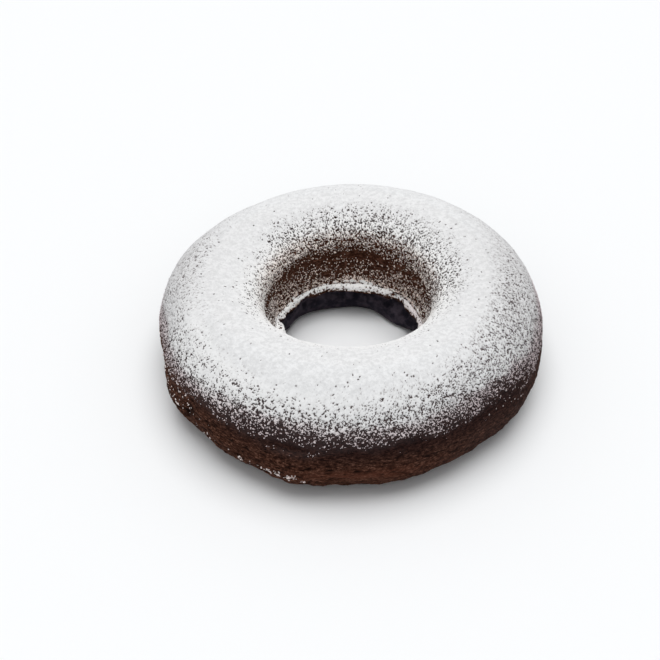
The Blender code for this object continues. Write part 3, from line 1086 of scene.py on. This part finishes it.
def make_clumps(name, skin, cover, size, seed, shift, material, tints):
    """Small clumps of powder, alike in form but each a little ragged, scattered over a skin."""
    draw = np.random.default_rng(seed)
    chosen, places, (sideways, third, normals) = scatter(skin, cover, size, draw)
    count = len(chosen)
    radius = size * np.exp(CLUMP_SPREAD * draw.normal(size=count))[:, None, None]
    points, faces = clump_template()
    jitter = draw.normal(size=(count, len(points), 1)).clip(-CLUMP_MOST_JITTER, CLUMP_MOST_JITTER)
    lumps = points[None] * (1.0 + CLUMP_RAGGEDNESS * jitter) * radius
    corners = (lumps[..., :1] * sideways[:, None] + lumps[..., 1:2] * third[:, None]
               + (lumps[..., 2:] + CLUMP_LIFT * radius) * normals[:, None])
    corners = corners + places[:, None]
    numbers = faces[None] + (np.arange(count) * len(points))[:, None, None]
    values = {label: np.repeat(tint.reshape(-1)[chosen], len(points)) for label, tint in tints.items()}
    white = rising(CLUMP_LEAST_WHITE, np.repeat(draw.random(count), len(points)))
    values["thickness"] = values.get("thickness", 1.0) * white
    return build_mesh(name, corners.reshape(-1, 3) - shift, numbers.reshape(-1, 3), material, values)


def foot_grain_cover(skin):
    """The share of the foot hidden by stray grains of sugar."""
    cover = np.zeros(skin.azimuth.shape)
    for azimuth, half_angle, height, half_height, share in FOOT_GRAINS:
        around = hump(skin.azimuth, azimuth, half_angle)
        cover += share * around * hump_at(skin.height, height, half_height)
    return cover * skin.outside


def foot_grain_tints(skin):
    """Tints of the stray grains; painted light brightens all but those at the right, which are dimmer."""
    dim = hump(skin.azimuth, *DIM_SIDE)
    return {
        "blush": FOOT_GRAIN_BLUSH * skin.outside,
        "cream": FOOT_GRAIN_CREAM * skin.outside,
        "painted_light": skin.outside * (1.0 - dim),
        "thickness": 1.0 - DIM_LOSS * dim,
    }


def make_grains(skin, shift, material):
    """All loose powder: clumps in both fringes, and grains on the hole's wall and round the foot."""
    share = sugar_share(skin)
    tints = sugar_tints(skin)
    low = skin.height < WALL_TOP[1]
    fringe = FRINGE_CLUMPS * share * smooth(*FRINGE_START, share) * (1.0 - smooth(*FRINGE_END, share))
    on_ledge = skin.height < WALL_FOOT_HEIGHT
    wall = np.where(on_ledge, LEDGE_GRAINS * share, np.minimum(share, MOST_WALL_GRAINS))
    kinds = (("outer_clumps", fringe * skin.outside, OUTER_CLUMP_SIZE, tints),
             ("inner_clumps", fringe * (~skin.outside & ~low), INNER_CLUMP_SIZE, tints),
             ("wall_grains", wall * (low & ~skin.outside), WALL_GRAIN_SIZE, tints),
             ("foot_grains", foot_grain_cover(skin), FOOT_GRAIN_SIZE, foot_grain_tints(skin)))
    return [make_clumps("icing_sugar_" + name, skin, cover, size, seed, shift, material, tone)
            for seed, (name, cover, size, tone) in enumerate(kinds)]


def make_floor():
    """A wide plain floor a hair under the cake."""
    corners = np.array(((-1.0, -1.0), (1.0, -1.0), (1.0, 1.0), (-1.0, 1.0))) * FLOOR_HALF_WIDTH
    places = np.column_stack((corners, np.full(len(corners), -FLOOR_GAP)))
    floor = build_mesh("floor", places, np.array(((0, 1, 2, 3),)), floor_material())


def make_camera():
    """A camera at the photograph's angle and framing."""
    data = bpy.data.cameras.new("camera")
    data.sensor_width = SENSOR_WIDTH
    data.lens = FOCAL_PIXELS / IMAGE_WIDTH * SENSOR_WIDTH
    middle = 0.5 * IMAGE_WIDTH
    data.shift_x = (middle - PICTURED_MIDDLE[0]) / IMAGE_WIDTH
    data.shift_y = (PICTURED_MIDDLE[1] - middle) / IMAGE_WIDTH
    camera = bpy.data.objects.new("camera", data)
    back = Vector((0.0, -math.cos(CAMERA_ELEVATION), math.sin(CAMERA_ELEVATION)))
    camera.location = CAMERA_TARGET + CAMERA_DISTANCE * back
    camera.rotation_euler = back.to_track_quat("Z", "Y").to_euler()
    bpy.context.scene.collection.objects.link(camera)
    bpy.context.scene.camera = camera


def make_sun(name, towards, angle, strength):
    """A soft sun: light from one side of the sky, spread over an angle in degrees."""
    data = bpy.data.lights.new(name, "SUN")
    data.angle = math.radians(angle)
    data.energy = strength
    sun = bpy.data.objects.new(name, data)
    sun.rotation_euler = Vector(towards).to_track_quat("Z", "Y").to_euler()
    bpy.context.scene.collection.objects.link(sun)


def make_lights():
    """A soft light from above, a softer one from the front and a pale room all round."""
    world = bpy.data.worlds.new("room")
    world.use_nodes = True
    background = world.node_tree.nodes["Background"]
    background.inputs["Color"].default_value = (*ROOM_COLOUR, 1.0)
    background.inputs["Strength"].default_value = ROOM_STRENGTH
    bpy.context.scene.world = world
    for sun in SUNS:
        make_sun(*sun)


def main():
    """Build the dressed cake, its floor, lights and camera."""
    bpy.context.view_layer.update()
    bpy.context.scene.view_settings.view_transform = "Standard"
    make_camera()
    make_lights()
    make_floor()
    outline = section()
    crumb, sugar = crumb_material(), sugar_material()
    skin = Skin(stations(outline, crust_spacing)[:-1], CRUST_SECTIONS, closed=True)
    shift = skin.middle()
    crust = make_crust(skin, shift, crumb)
    powder = make_sheet(outline, shift, sugar) + make_grains(skin, shift, sugar)
    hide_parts("ring_cake")
    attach(crust, "root")
    for piece in powder:
        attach(piece, "root")


main()
